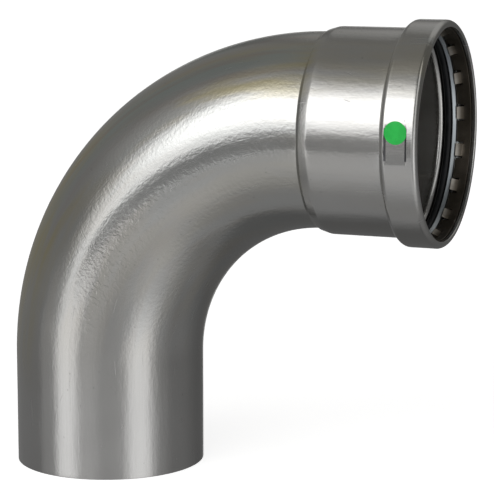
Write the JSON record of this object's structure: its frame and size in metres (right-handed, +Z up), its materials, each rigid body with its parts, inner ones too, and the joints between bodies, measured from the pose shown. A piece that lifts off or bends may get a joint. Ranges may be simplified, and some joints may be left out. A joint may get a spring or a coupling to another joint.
{
  "type": "pipe elbow",
  "caption": "Ninety degree stainless steel street elbow: plain spigot at one end, beaded press socket with seal and grip ring at the other.",
  "frame": {"origin": "centre of the spigot's end face", "axes": "+Z up the spigot's axis, +X along the socket's axis and out of its mouth, +Y away from the side with the green mark"},
  "size_m": [0.2097, 0.1014, 0.2124],
  "materials": {
    "stainless_tube": "pickled, fine drawn grain, light heat tint at the bend",
    "spring_steel": "dull, slightly oiled",
    "separator_steel": "satin",
    "seal_rubber": "moulded, lightly greased",
    "green_ink": "printed spot, semi-matt"
  },
  "bodies": {
    "elbow": {"elbow_body": "stainless_tube", "sealing_element": "seal_rubber", "green_mark": "green_ink"},
    "grip": {"grip_ring": "spring_steel"},
    "separator": {"separator_ring": "separator_steel"}
  },
  "joints": [
    {"name": "grip_ring_turn", "type": "hinge", "parent": "elbow", "child": "grip", "pos_m": [0.1596, 0, 0.1617], "axis": [1, 0, 0], "continuous": true},
    {"name": "separator_ring_turn", "type": "hinge", "parent": "elbow", "child": "separator", "pos_m": [0.1552, 0, 0.1617], "axis": [1, 0, 0], "continuous": true}
  ]
}
